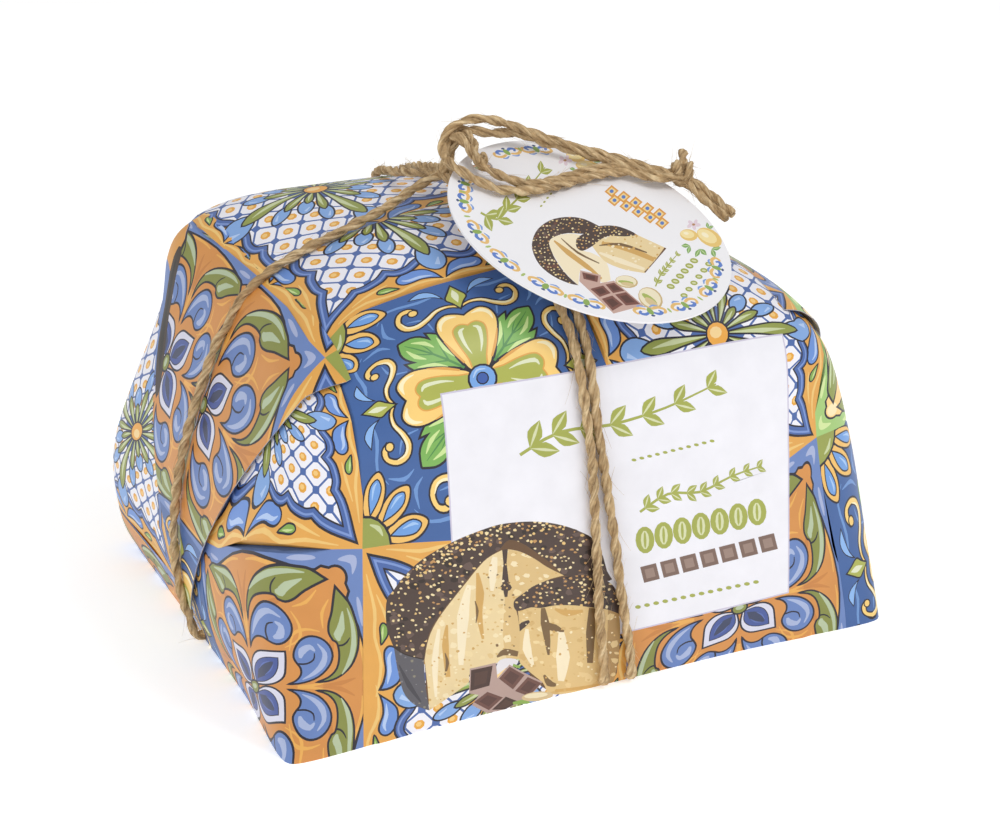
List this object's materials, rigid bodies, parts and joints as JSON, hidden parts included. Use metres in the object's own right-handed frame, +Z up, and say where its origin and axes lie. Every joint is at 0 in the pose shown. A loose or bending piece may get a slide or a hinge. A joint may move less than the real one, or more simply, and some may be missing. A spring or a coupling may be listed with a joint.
{
  "type": "wrapped panettone gift pack",
  "caption": "Shut gift pack of a filled festive loaf: tile-patterned paper folded round a domed body, tied with jute twine and a round hang tag.",
  "frame": {"origin": "middle of the base, on the surface the pack stands on", "axes": "+Z up, +X along the long side towards the right end as seen from the front, -Y out of the labelled front face"},
  "size_m": [0.2655, 0.2038, 0.1939],
  "materials": {
    "printed_paper": "satin",
    "jute": "matte",
    "card": "satin"
  },
  "bodies": {
    "root": {"wrap": "printed_paper", "twine": "jute", "hang_tag": "card"}
  },
  "joints": []
}
